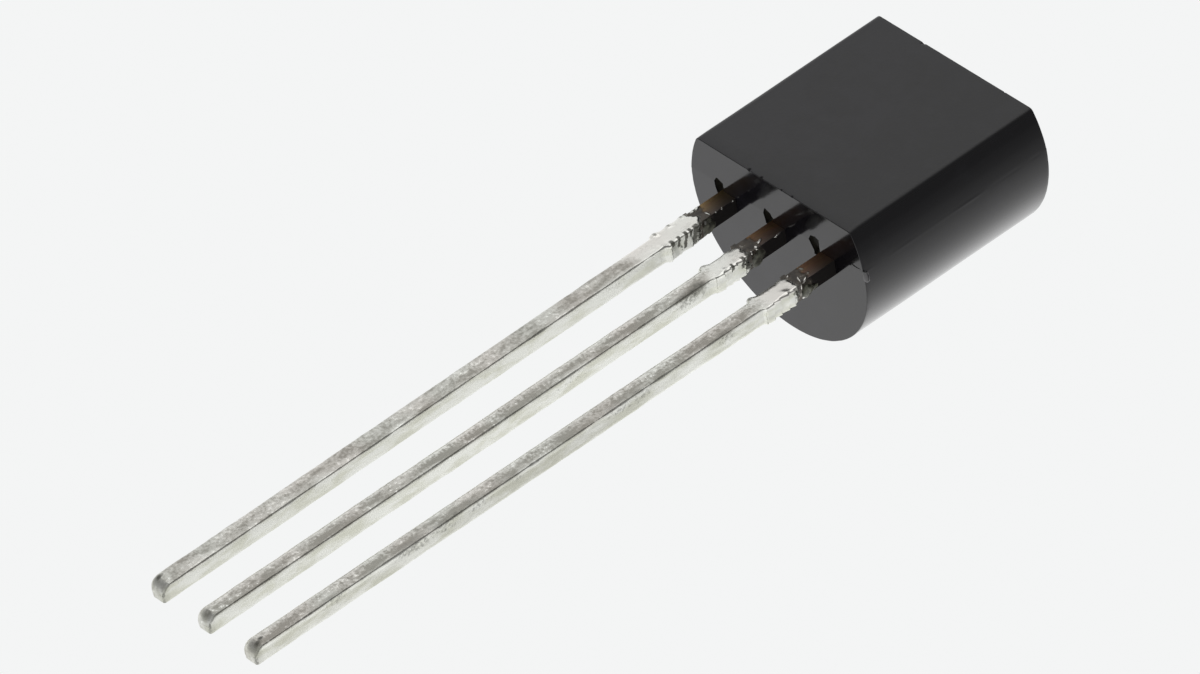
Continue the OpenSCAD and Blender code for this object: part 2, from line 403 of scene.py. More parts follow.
@dataclass(frozen=True)
class BareCopper(Finish):
    """Stamped copper alloy, browned by the heat of moulding: dull brown, with a dirty film where the solder starts."""

    name: str = "browned_copper_alloy"
    brown: str = "#967e58"
    red: str = "#85644f"
    # Grey of the painted shade on the right face
    right_face_shade: str = "#67615e"
    flux: str = "#47413a"
    film: str = "#625a50"
    tin: str = "#aaa69c"
    streak_mm: float = 0.05
    fleck_mm: float = 0.14
    clean_mm: float = 0.57
    relief_mm: float = 0.008

    def material(self) -> Material:
        """Streaks run along the lead, as the strip was rolled; past the clean length burnt flux and tin lie on it.

        Returns:
            The material.
        """
        material, tree, place = self.start()
        axes = add(tree, "SeparateXYZ", {0: place})
        long = add(tree, "Mapping", {"Vector": place, "Scale": (1.0, 0.15, 1.0)})
        streak = add(tree, "TexNoise", {"Vector": long, "Scale": 1 / self.streak_mm, "Detail": 4.0})
        # The left lead is the brownest of the three
        warm = add(tree, "MapRange", {"Value": axes.outputs["X"], "From Min": -1.5, "From Max": 0.2,
                                                "To Min": -0.15, "To Max": 0.12})
        tone = add(tree, "Math", {0: streak, 1: warm}, operation="ADD")
        bare = add(tree, "ValToRGB", {"Fac": tone}, stops=[(0.36, linear(self.brown)), (0.62, linear(self.red))])
        fleck = add(tree, "TexNoise", {"Vector": place, "Scale": 1 / self.fleck_mm, "Detail": 3.0})
        dirt = add(tree, "ValToRGB", {"Fac": fleck},
                   stops=[(0.4, linear(self.flux)), (0.56, linear(self.film)), (0.62, linear(self.film)),
                          (0.67, linear(self.tin))])
        edge = add(tree, "Math", {0: fleck, 1: -0.35, 2: axes.outputs["Y"]}, operation="MULTIPLY_ADD")
        past = add(tree, "MapRange", {"Value": edge, "From Min": -self.clean_mm - 0.15,
                                                "From Max": -self.clean_mm - 0.21, "To Min": 0.0, "To Max": 1.0})
        # Painted shade: the right side is painted darker and greyer all the way up
        right_face_shade = add(tree, "Attribute", attribute_name="right_face_shade").outputs["Fac"]
        dark = add(tree, "Mix", {0: right_face_shade, 6: bare, 7: linear(self.right_face_shade)}, data_type="RGBA")
        colour = add(tree, "Mix", {0: past, 6: dark.outputs[2], 7: dirt}, data_type="RGBA")
        metal = add(tree, "Math", {0: 1.0, 1: past}, operation="SUBTRACT")
        rough = add(tree, "MapRange", {"Value": streak, "To Min": 0.28, "To Max": 0.5})
        height = add(tree, "Math", {0: fleck, 1: past}, operation="MULTIPLY")
        relief = add(tree, "Math", {0: streak, 1: 0.4, 2: height}, operation="MULTIPLY_ADD")
        bump = add(tree, "Bump", {"Height": relief, "Strength": 1.0, "Distance": self.relief_mm * MM})
        self.close(tree, {"Base Color": colour.outputs[2], "Metallic": metal,
                          "Roughness": rough, "Normal": bump})
        return material


@dataclass(frozen=True)
class BurntFlux(Finish):
    """Rosin flux, burnt in the solder bath: dark olive and glassy."""

    name: str = "burnt_flux"
    dark: str = "#35342b"
    light: str = "#757567"
    cloud_mm: float = 0.12

    def material(self) -> Material:
        """Paler clouds where the resin is thin.

        Returns:
            The material.
        """
        material, tree, place = self.start()
        cloud = add(tree, "TexNoise", {"Vector": place, "Scale": 1 / self.cloud_mm, "Detail": 3.0})
        colour = add(tree, "ValToRGB", {"Fac": cloud}, stops=[(0.38, linear(self.dark)), (0.66, linear(self.light))])
        self.close(tree, {"Base Color": colour, "Roughness": 0.25, "IOR": 1.52})
        return material


@dataclass(frozen=True)
class DippedSolder(Finish):
    """Tin-lead solder, hot dipped: bright where it froze smooth, grey and mottled along the shank."""

    name: str = "dipped_solder"
    bright: str = "#f2f3ed"
    grey: str = "#c9c9c2"
    dull: str = "#a4a39b"
    # Grey of the dirt, and of the painted shade
    grime_and_shade: str = "#6f6e65"
    lilac: str = "#fbf7f7"
    cream: str = "#f1f1ea"
    mottle_mm: float = 0.2
    grit_mm: float = 0.06
    patch_mm: float = 1.1
    relief_mm: float = 0.014

    def material(self) -> Material:
        """The dirt-and-shade mask darkens with dirt and with painted shade, the smooth-and-lit mask brightens the
        smooth bar and adds painted highlight and shade, bloom lays a dull white oxide, and grain brings out the
        crystals.

        Returns:
            The material.
        """
        material, tree, place = self.start()
        dirt_and_shade, smooth_and_lit, bloom, grain = (add(tree, "Attribute", attribute_name=name).outputs["Fac"]
                                        for name in ("dirt_and_shade", "smooth_and_lit", "bloom", "grain"))
        long = add(tree, "Mapping", {"Vector": place, "Scale": (1.0, 0.3, 1.0)})
        mottle = add(tree, "TexNoise", {"Vector": long, "Scale": 1 / self.mottle_mm,
                                                  "Detail": 4.0, "Roughness": 0.55})
        grit = add(tree, "TexNoise", {"Vector": place, "Scale": 1 / self.grit_mm, "Detail": 2.0})
        patch = add(tree, "TexNoise", {"Vector": place, "Scale": 1 / self.patch_mm, "Detail": 1.0})
        # Crystals show in patches, and the bloom hides them
        share = add(tree, "MapRange", {"Value": grain, "To Min": 0.15, "To Max": 0.85})
        crystals = add(tree, "Mix", {0: share, 2: mottle, 3: grit})
        gain = add(tree, "MapRange", {"Value": bloom, "To Min": 1.0, "To Max": 0.25})
        swing = add(tree, "Math", {0: crystals, 1: -0.5}, operation="ADD")
        level = add(tree, "MapRange", {"Value": bloom, "To Min": 0.5, "To Max": 0.73})
        calm = add(tree, "Math", {0: swing, 1: gain, 2: level}, operation="MULTIPLY_ADD")
        # Painted glints: the largest crystals are painted brighter on their own
        flash = add(tree, "MapRange", {"Value": grit, "From Min": 0.62, "From Max": 0.7,
                                                 "To Min": 0.0, "To Max": 0.45})
        strewn = add(tree, "MapRange", {"Value": mottle, "From Min": 0.48, "From Max": 0.6})
        bare = add(tree, "Math", {0: 1.0, 1: bloom}, operation="SUBTRACT")
        there = add(tree, "Math", {0: strewn, 1: bare}, operation="MULTIPLY")
        lit = add(tree, "Math", {0: flash, 1: there, 2: calm}, operation="MULTIPLY_ADD")
        # Painted highlight and painted shade come in here, together with the smooth bar
        tone_and_light = add(tree, "Math", {0: smooth_and_lit, 1: 0.28, 2: lit}, operation="MULTIPLY_ADD")
        metal = add(tree, "ValToRGB", {"Fac": tone_and_light},
                    stops=[(0.38, linear(self.dull)), (0.5, linear(self.grey)), (0.74, linear(self.bright))])
        # A thin oxide tints the metal lilac in places
        tint = add(tree, "ValToRGB", {"Fac": patch}, stops=[(0.4, linear(WHITE)), (0.6, linear(self.lilac))])
        tinted = add(tree, "Mix", {0: bare, 6: metal, 7: tint}, data_type="RGBA", blend_type="MULTIPLY")
        # Dried flux leaves cream streaks on the bloom
        film = add(tree, "ValToRGB", {"Fac": mottle}, stops=[(0.4, linear(self.cream)), (0.58, linear(WHITE))])
        tinted = add(tree, "Mix", {0: bloom, 6: tinted.outputs[2], 7: film}, data_type="RGBA", blend_type="MULTIPLY")
        # Dirt and painted shade break up at their edge instead of fading
        broken = add(tree, "Math", {0: grit, 1: 0.5, 2: dirt_and_shade}, operation="MULTIPLY_ADD")
        dark = add(tree, "ValToRGB", {"Fac": broken}, stops=[(0.55, grey(0.0)), (0.85, grey(1.0))])
        colour = add(tree, "Mix", {0: dark, 6: tinted.outputs[2], 7: linear(self.grime_and_shade)}, data_type="RGBA")
        # Dirt and painted shade, and the bloom, make the solder less metallic
        dirt = add(tree, "Math", {0: bloom, 1: 0.2, 2: dark}, operation="MULTIPLY_ADD")
        metallic = add(tree, "Math", {0: 1.0, 1: dirt}, operation="SUBTRACT", use_clamp=True)
        gloss = add(tree, "MapRange", {"Value": tone_and_light, "From Min": 0.35, "From Max": 0.7,
                                                 "To Min": 0.42, "To Max": 0.26})
        rough = add(tree, "Math", {0: bloom, 1: 0.28, 2: gloss}, operation="MULTIPLY_ADD")
        smooth = add(tree, "Math", {0: smooth_and_lit, 1: bloom}, operation="MAXIMUM")
        strength = add(tree, "MapRange", {"Value": smooth, "To Min": 1.0, "To Max": 0.12})
        bump = add(tree, "Bump", {"Height": crystals, "Strength": strength, "Distance": self.relief_mm * MM})
        self.close(tree, {"Base Color": colour.outputs[2], "Metallic": metallic,
                          "Roughness": rough, "Normal": bump})
        return material


@dataclass(frozen=True)
class SilverEpoxy(Finish):
    """Silver-filled epoxy, cured: pale grey flakes in resin, with a dull glitter."""

    name: str = "silver_filled_epoxy"
    flakes_per_mm: float = 33.0
    pale: str = "#d8d4ca"
    shade: str = "#a8a294"

    def material(self) -> Material:
        """Flakes are cells of 0.03 mm.

        Returns:
            The material.
        """
        material, tree, place = self.start()
        flakes = add(tree, "TexVoronoi", {"Vector": place, "Scale": self.flakes_per_mm})
        colour = add(tree, "ValToRGB", {"Fac": flakes}, stops=[(0.1, linear(self.pale)), (0.8, linear(self.shade))])
        self.close(tree, {"Base Color": colour, "Metallic": 0.6, "Roughness": 0.5})
        return material


@dataclass(frozen=True)
class PolishedSilicon(Finish):
    """Silicon, sawn from a polished wafer: dark blue-grey and glossy."""

    name: str = "polished_silicon"
    wave_scale: float = 8.0
    dark: str = "#4b515c"
    light: str = "#636a76"

    def material(self) -> Material:
        """Saw marks run round the sides, 0.04 mm apart: a wave of scale 1 has a pitch of 0.31 mm.

        Returns:
            The material.
        """
        material, tree, place = self.start()
        marks = add(tree, "TexWave", {"Vector": place, "Scale": self.wave_scale, "Distortion": 0.6},
                    bands_direction="Z")
        colour = add(tree, "ValToRGB", {"Fac": marks.outputs["Fac"]},
                     stops=[(0.2, linear(self.dark)), (0.8, linear(self.light))])
        self.close(tree, {"Base Color": colour, "Metallic": 0.7, "Roughness": 0.18})
        return material


@dataclass(frozen=True)
class DrawnGold(Finish):
    """Gold wire, drawn: bright yellow with a fine lengthwise sheen."""

    name: str = "drawn_gold"
    sheen_mm: float = 0.01
    deep: str = "#d9a93e"
    bright: str = "#f0c860"

    def material(self) -> Material:
        """A sheen too fine to show by itself.

        Returns:
            The material.
        """
        material, tree, place = self.start()
        grain = add(tree, "TexNoise", {"Vector": place, "Scale": 1 / self.sheen_mm, "Detail": 2.0})
        colour = add(tree, "ValToRGB", {"Fac": grain}, stops=[(0.3, linear(self.deep)), (0.7, linear(self.bright))])
        self.close(tree, {"Base Color": colour, "Metallic": 1.0, "Roughness": 0.2})
        return material


@dataclass(frozen=True)
class Corner:
    """Corner of the body's section: place, outward normal, and whether it is a ridge of flash."""

    x: float
    z: float
    nx: float
    nz: float
    flash: bool = False


@dataclass(frozen=True)
class Chip:
    """Chip out of an edge of the flat: its place across, its size, and whether it is at the seating face."""

    across: float
    size: float
    near: bool = True


@dataclass
class ResinBody:
    """The moulded body: a round back, a flat, two drafted ends, flash on the parting line and a broken gate."""

    package: Package = PACKAGE
    end_edge_r: float = 0.012
    worn_edge_r: float = 0.12
    # The flat rolls off softly towards the seating face: length and drop
    roll_off: tuple[float, float] = (0.3, 0.02)
    chips: tuple[Chip, ...] = (Chip(-0.62, 0.075), Chip(-0.3, 0.06), Chip(0.22, 0.045), Chip(0.5, 0.05),
                               Chip(1.15, 0.035), Chip(-0.8, 0.08, near=False), Chip(1.3, 0.05, near=False))
    arc_points: int = 150
    side_points: int = 14
    edge_points: int = 7
    flat_points: int = 26
    length_rings: int = 64
    end_rings: int = 5
    # Depth of the end edges' wear and of the sink marks
    wear: float = 0.006
    sink: float = 0.004
    # Voids beside the leads at the seating face: outlines from each lead's upper left corner
    voids: dict[Side, list[tuple[float, float]]] = field(default_factory=lambda: {
        Side.LEFT: [(-0.18, 0.13), (-0.09, 0.25), (0.06, 0.195), (0.08, 0.08), (-0.01, -0.15), (-0.13, -0.13),
                    (-0.17, 0.0)],
        Side.CENTRE: [(-0.19, 0.1), (-0.136, 0.23), (0.0, 0.19), (0.09, 0.09), (-0.01, -0.14), (-0.15, -0.13)],
        Side.RIGHT: [(-0.29, 0.15), (-0.23, 0.26), (-0.1, 0.3), (-0.01, 0.27), (-0.01, 0.05), (-0.01, -0.14),
                     (-0.18, -0.14), (-0.18, -0.05)]})
    void_deep: float = 0.14
    void_ragged: float = 0.012
    gate_grid: tuple[int, int] = (22, 9)
    # Tooth of flash: its outline in x and z, and the depth and scale of each layer
    tooth: tuple[tuple[float, float], ...] = ((2.25, 0.2), (2.285, 0.2), (2.36, 0.235), (2.385, 0.18), (2.4, 0.1),
                                              (2.395, 0.02), (2.36, -0.02), (2.32, -0.05), (2.25, -0.04))
    tooth_centre: tuple[float, float] = (2.31, 0.09)
    tooth_layers: tuple[tuple[float, float], ...] = ((-0.009, 0.78), (-0.006, 0.93), (0.002, 1.0), (0.02, 0.95),
                                                     (0.034, 0.75))
    # Course of the crease: x, z and radius
    crease: tuple[Point, ...] = ((1.96, 0.21, 0.003), (1.99, 0.192, 0.018), (2.03, 0.172, 0.022),
                                 (2.09, 0.166, 0.021), (2.15, 0.175, 0.017), (2.2, 0.19, 0.003))
    crease_points: int = 12

    def section(self) -> list[Corner]:
        """Section across the body, from the right flash down round the back and over the flat.

        Returns:
            Its corners.
        """
        p = self.package
        r = self.worn_edge_r
        edge_x = math.sqrt((p.body_r - r) ** 2 - (p.flat_to_axis - r) ** 2)
        edge_z = p.flat_to_axis - r
        corner = math.atan2(edge_z, edge_x)
        ridge = math.asin((p.lead_drop - p.axis_z) / p.body_r)
        half = p.flash_t / 2 / p.body_r
        back = np.linspace(ridge - half, -math.pi - ridge + half, self.arc_points)
        sides = np.linspace(ridge + half, corner, self.side_points)[:-1]
        middle = np.linspace(-edge_x + 0.15, edge_x - 0.15, self.flat_points)

        def on_arc(angle: float, flash: bool = False) -> Corner:
            """A corner on the round."""
            c, s = math.cos(angle), math.sin(angle)
            return Corner(p.body_r * c, p.axis_z + p.body_r * s, c, s, flash)

        def on_edge(angle: float, side: int) -> Corner:
            """A corner on one rounded long edge of the flat."""
            c, s = side * math.cos(angle), math.sin(angle)
            return Corner(side * edge_x + r * c, p.axis_z + edge_z + r * s, c, s)

        return [on_arc(ridge, True), *(on_arc(a) for a in back), on_arc(math.pi - ridge, True),
                *(on_arc(math.pi - a) for a in sides),
                *(on_edge(a, -1) for a in np.linspace(corner, math.pi / 2, self.edge_points)),
                *(Corner(x, p.flat_z, 0.0, 1.0) for x in (0.02 - edge_x, *middle, edge_x - 0.02)),
                *(on_edge(a, 1) for a in np.linspace(math.pi / 2, corner, self.edge_points)),
                *(on_arc(a) for a in sides[::-1])]

    def ring(self, section: Sequence[Corner], along: float, inset: float = 0.0, from_end: float = 0.0) -> list[Point]:
        """One ring of the skin.

        Args:
            section: The body's section.
            along: 0 at the seating face and 1 at the far end.
            inset: Distance in from the section.
            from_end: Distance in from the nearer end, at an end's rounded edge.

        Returns:
            The ring's corners.
        """
        p = self.package
        corners = []
        for q in section:
            x, z, nz = q.x, q.z, q.nz
            lean = abs(z - p.lead_drop) * p.draft
            y = lean + along * (p.body_h - 2 * lean) + (from_end if along < 0.5 else -from_end)
            if q.flash:
                # Flash comes and goes along the parting line
                out = p.flash_w * max(0.03 + 0.08 * wobble(x, 2.1 * y, 0.0, 1), 0.01)
                out -= 0.3 * inset
            else:
                sink = self.sink * wobble(0.7 * x, 0.5 * y, 0.7 * z, 2) * smoothstep(0.0, 0.3, min(y, p.body_h - y))
                length, drop = self.roll_off
                soft = drop * max(1 - y / length, 0.0) ** 2
                out = (-soft if nz > 0.999 else sink - soft * max(nz, 0.0) ** 3) - inset
                if inset or from_end:
                    out -= self.wear * max(wobble(7 * x, 3 * along, 7 * z, 3), 0.0)
            # The end faces stay true planes, so that they mirror the leads undistorted
            y += (abs(z + nz * out - p.lead_drop) * p.draft - lean) * (1 - 2 * along)
            corners.append((x + q.nx * out, y, z + nz * out))
        return corners

    def skin(self) -> Object:
        """The closed outer shape, before the voids are cut.

        Returns:
            The closed shape.
        """
        section = self.section()
        r = self.end_edge_r
        turns = [math.pi / 2 * k / (self.end_rings - 1) for k in range(self.end_rings)]
        rings = [self.ring(section, 0.0, r * (1 - math.cos(t)), r * (1 - math.sin(t))) for t in reversed(turns)]
        rings += [self.ring(section, k / self.length_rings) for k in range(1, self.length_rings)]
        rings += [self.ring(section, 1.0, r * (1 - math.cos(t)), r * (1 - math.sin(t))) for t in turns]
        points, faces = tube(rings)
        count = len(section)
        # Each end is two faces that meet between the two ridges of flash
        split = [i for i, corner in enumerate(section) if corner.flash][1]
        for start in (0, (len(rings) - 1) * count):
            faces.append([start + i for i in range(split + 1)])
            faces.append([start + i for i in range(split, count)] + [start])
        return mesh_object("moulded_body_skin", points, faces)

    def void_cutter(self, side: Side) -> Object:
        """Pit with a ragged outline that narrows inwards.

        Args:
            side: The lead that the void lies beside.

        Returns:
            The cutter.
        """
        p = self.package
        x0 = side.value * p.lead_pitch - p.lead_w / 2
        corners = self.voids[side]
        outline = []
        for (ax, az), (bx, bz) in zip(corners, corners[1:] + corners[:1]):
            for k in range(5):
                x, z = ax + (bx - ax) * k / 5, az + (bz - az) * k / 5
                outline.append((x + self.void_ragged * wobble(23 * x, 0, 23 * z, 11),
                                z + self.void_ragged * wobble(23 * x, 0, 23 * z, 12)))
        cx, cz = (sum(q[k] for q in outline) / len(outline) for k in (0, 1))
        layers = ((-0.1, 1.0), (0.3 * self.void_deep, 0.98), (0.75 * self.void_deep, 0.8), (self.void_deep, 0.45))
        rings = [[(x0 + cx + (x - cx) * scale, y, cz + (z - cz) * scale) for x, z in outline] for y, scale in layers]
        return mesh_object(f"void_{side.name.lower()}", *tube(rings, capped=True))

    def chip_cutter(self, number: int) -> Object:
        """Small wedge with uneven faces that breaks one place of the flat's edge.

        Args:
            number: Number of the chip in the list of chips.

        Returns:
            The cutter.
        """
        p = self.package
        chip = self.chips[number]
        inward, start, drop = (1, 0.0, self.roll_off[1]) if chip.near else (-1, p.body_h, 0.0)
        y, z = start + inward * (p.flat_z - p.lead_drop) * p.draft, p.flat_z - drop
        work = bmesh.new()
        # Corners as shares of the size: across, inwards, up
        for a, b, c in ((-1.6, -1.0, 0.0), (1.3, -1.0, 0.1), (0.2, -1.0, -0.9), (-0.4, 0.9, 0.0), (0.5, 0.5, 0.1),
                        (0.0, 0.0, 1.0)):
            work.verts.new((chip.across + a * chip.size, y + b * inward * chip.size, z + c * chip.size))
        bmesh.ops.convex_hull(work, input=work.verts)
        return bmesh_object(f"chip_{number}", work)

    def build(self, finish: Material) -> Object:
        """Builds and mounts the body.

        Args:
            finish: The moulded epoxy.

        Returns:
            The body.
        """
        p = self.package
        body = self.skin()
        carve(body, [*map(self.void_cutter, Side), *map(self.chip_cutter, range(len(self.chips)))])
        edge = p.flat_z - 1.1 * self.worn_edge_r
        # The seating face is polished right up to the flat's edge
        set_mask(body, "matt", lambda q: smoothstep(edge, p.flat_z - 0.001, q.z)
                 * float(q.y - abs(q.z - p.lead_drop) * p.draft > 0.3 * self.end_edge_r))
        set_mask(body, "pit", lambda q: float(0.015 < q.y < 1.2 * self.void_deep and abs(q.z) < 0.5
                                              and abs(q.x) < 1.8))
        return mount(body, finish, ["moulded_body"],
                     flat=lambda n: abs(n.y) > 0.9998 or n.z > 0.99999)

    def build_gate(self, finish: Material) -> Object:
        """Broken resin at the gate: a rough scar on the far end, below the parting line.

        Args:
            finish: The moulded epoxy.

        Returns:
            The broken gate.
        """
        p = self.package
        columns, rows = self.gate_grid
        low, high = p.lead_drop - p.gate_t, p.lead_drop
        points, faces = [], []
        for j in range(rows + 1):
            for i in range(columns + 1):
                u, v = i / columns, j / rows
                rim = smoothstep(0, 0.12, min(u, 1 - u)) * smoothstep(0, 0.2, min(v, 1 - v))
                rough = 0.55 + 0.3 * wobble(9 * u, 4 * v, 0, 5) + 0.25 * wobble(23 * u, 9 * v, 0, 6)
                x = (u - 0.5) * p.gate_w * (1 + 0.04 * wobble(0, 6 * v, 0, 7))
                z = low + v * (high - low)
                points.append((x, p.body_h + p.gate_stub * min(max(rough, 0.05), 1.0) * rim - 0.004, z))
        under = len(points)
        points += [(x, p.body_h - 0.1, z) for x, _, z in points]
        wide = columns + 1
        for j in range(rows):
            for i in range(columns):
                a = j * wide + i
                faces.append([a, a + 1, a + wide + 1, a + wide])
                faces.append([under + a, under + a + wide, under + a + wide + 1, under + a + 1])
        border = [*range(columns), *(j * wide + columns for j in range(rows)),
                  *(rows * wide + i for i in range(columns, 0, -1)), *(j * wide for j in range(rows, 0, -1))]
        for a, b in zip(border, border[1:] + border[:1]):
            faces.append([a, b, under + b, under + a])
        gate = mesh_object("gate_scar", points, faces)
        set_mask(gate, "matt", lambda q: 0.8)
        return mount(gate, finish, sharp_deg=25)

    def build_burr(self, finish: Material) -> Object:
        """Tooth of flash that stands out at the right front corner, in the plane of the seating face.

        Args:
            finish: The moulded epoxy.

        Returns:
            The tooth.
        """
        centre = Vector(self.tooth_centre)
        outline = [Vector(q) - centre for q in self.tooth]
        rings = []
        for y, scale in self.tooth_layers:
            ring = []
            for a, b in zip(outline, outline[1:] + outline[:1]):
                for k in range(3):
                    q = centre + a.lerp(b, k / 3) * scale
                    ring.append((q.x + 0.008 * wobble(30 * q.x, 0, 30 * q.y, 21), y, q.y))
            rings.append(ring)
        burr = mesh_object("flash_tooth", *tube(rings, capped=True))
        set_mask(burr, "matt", lambda q: 0.3)
        return mount(burr, finish, sharp_deg=60)

    def build_crease(self, finish: Material) -> Object:
        """Low fold in the skin of the seating face, that leads to the tooth.

        Args:
            finish: The moulded epoxy.

        Returns:
            The fold.
        """
        turns = np.linspace(0, 2 * math.pi, self.crease_points, endpoint=False)
        # The fold is low: its height is less than half its width
        rings = [[(x, 0.001 - 0.45 * r * math.sin(a), z + r * math.cos(a)) for a in turns] for x, z, r in self.crease]
        crease = mesh_object("skin_crease", *tube(rings, capped=True))
        set_mask(crease, "matt", lambda q: 0.3)
        return mount(crease, finish, sharp_deg=60)


@dataclass
class CopperLead:
    """One stamped lead of the leadframe, with the edges of the strip broken by the punch."""

    side: Side
    punch_r: float = 0.022
    # Inside its coat the core is slimmer and shorter, clear of the coat's rounded brow and rolled end
    slim: float = 0.045
    short: float = 0.4
    # Length of the core that shows and of the step behind it, under the coat's ragged edge
    shown: float = PACKAGE.bare_len + 0.08
    slope: float = 0.02
    merge: float = 0.0004

    def build(self, finish: Material) -> Object:
        """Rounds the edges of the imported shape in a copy, which then stands for it.

        Args:
            finish: The bare copper.

        Returns:
            The lead.
        """
        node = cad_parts[self.side.lead_node]
        work = bmesh.new()
        work.from_mesh(node.data)
        work.transform(PACKAGE.seat.inverted())
        bmesh.ops.remove_doubles(work, verts=work.verts, dist=self.merge)
        bmesh.ops.dissolve_limit(work, angle_limit=math.radians(1.0), verts=work.verts, edges=work.edges)
        # Only long outer edges are rounded: those of the upper and lower faces
        edges = [e for e in work.edges if len(e.link_faces) == 2 and e.calc_face_angle() > math.radians(60)
                 and abs((e.verts[0].co - e.verts[1].co).normalized().z) < 0.5]
        bmesh.ops.bevel(work, geom=edges, offset=self.punch_r, segments=2, profile=0.5, affect="EDGES",
                        clamp_overlap=True)
        for cut in (self.shown - self.slope, self.shown):
            bmesh.ops.bisect_plane(work, geom=work.verts[:] + work.edges[:] + work.faces[:], plane_co=(0, -cut, 0),
                                   plane_no=(0, 1, 0))
        place = PACKAGE.toe_in(self.side)
        longest = PACKAGE.lead_reach - self.short
        for vert in work.verts:
            local = place.inverted() @ vert.co
            if -local.y > self.shown - self.slope / 4:
                local.y = max(local.y, -longest)
                half = abs(local.x)
                local.x *= max(half - self.slim, 0.0) / max(half, 1e-6)
                local.z += self.slim if local.z < -PACKAGE.lead_t / 2 else -self.slim
                vert.co = place @ local
        core = bmesh_object(f"{self.side.lead_node}_core", work)
        back = place.inverted()
        # Painted shade on the copper's right face
        set_mask(core, "right_face_shade", lambda q: smoothstep(0.157, 0.178, (back @ q).x))
        return mount(core, finish, [self.side.lead_node], sharp_deg=30, flat=lambda n: abs(n.z) > 0.999)


@dataclass(frozen=True)
class Lump:
    """Lump of solder on an edge of the bar: distance along the lead, side (-1 or 1), height."""

    at: float
    side: int
    height: float


@dataclass(frozen=True)
class Speck:
    """Black speck near the cut end: distance along the lead, place across, size."""

    at: float
    across: float
    size: float


@dataclass(frozen=True)
class Streak:
    """Flux that hangs down the right side: distance along the lead, half width, depth."""

    at: float
    wide: float
    deep: float


@dataclass(frozen=True)
class Speckle:
    """Stretch of the right side with a speckle of dirt: distance along the lead, half length, strength."""

    at: float
    long: float
    strength: float


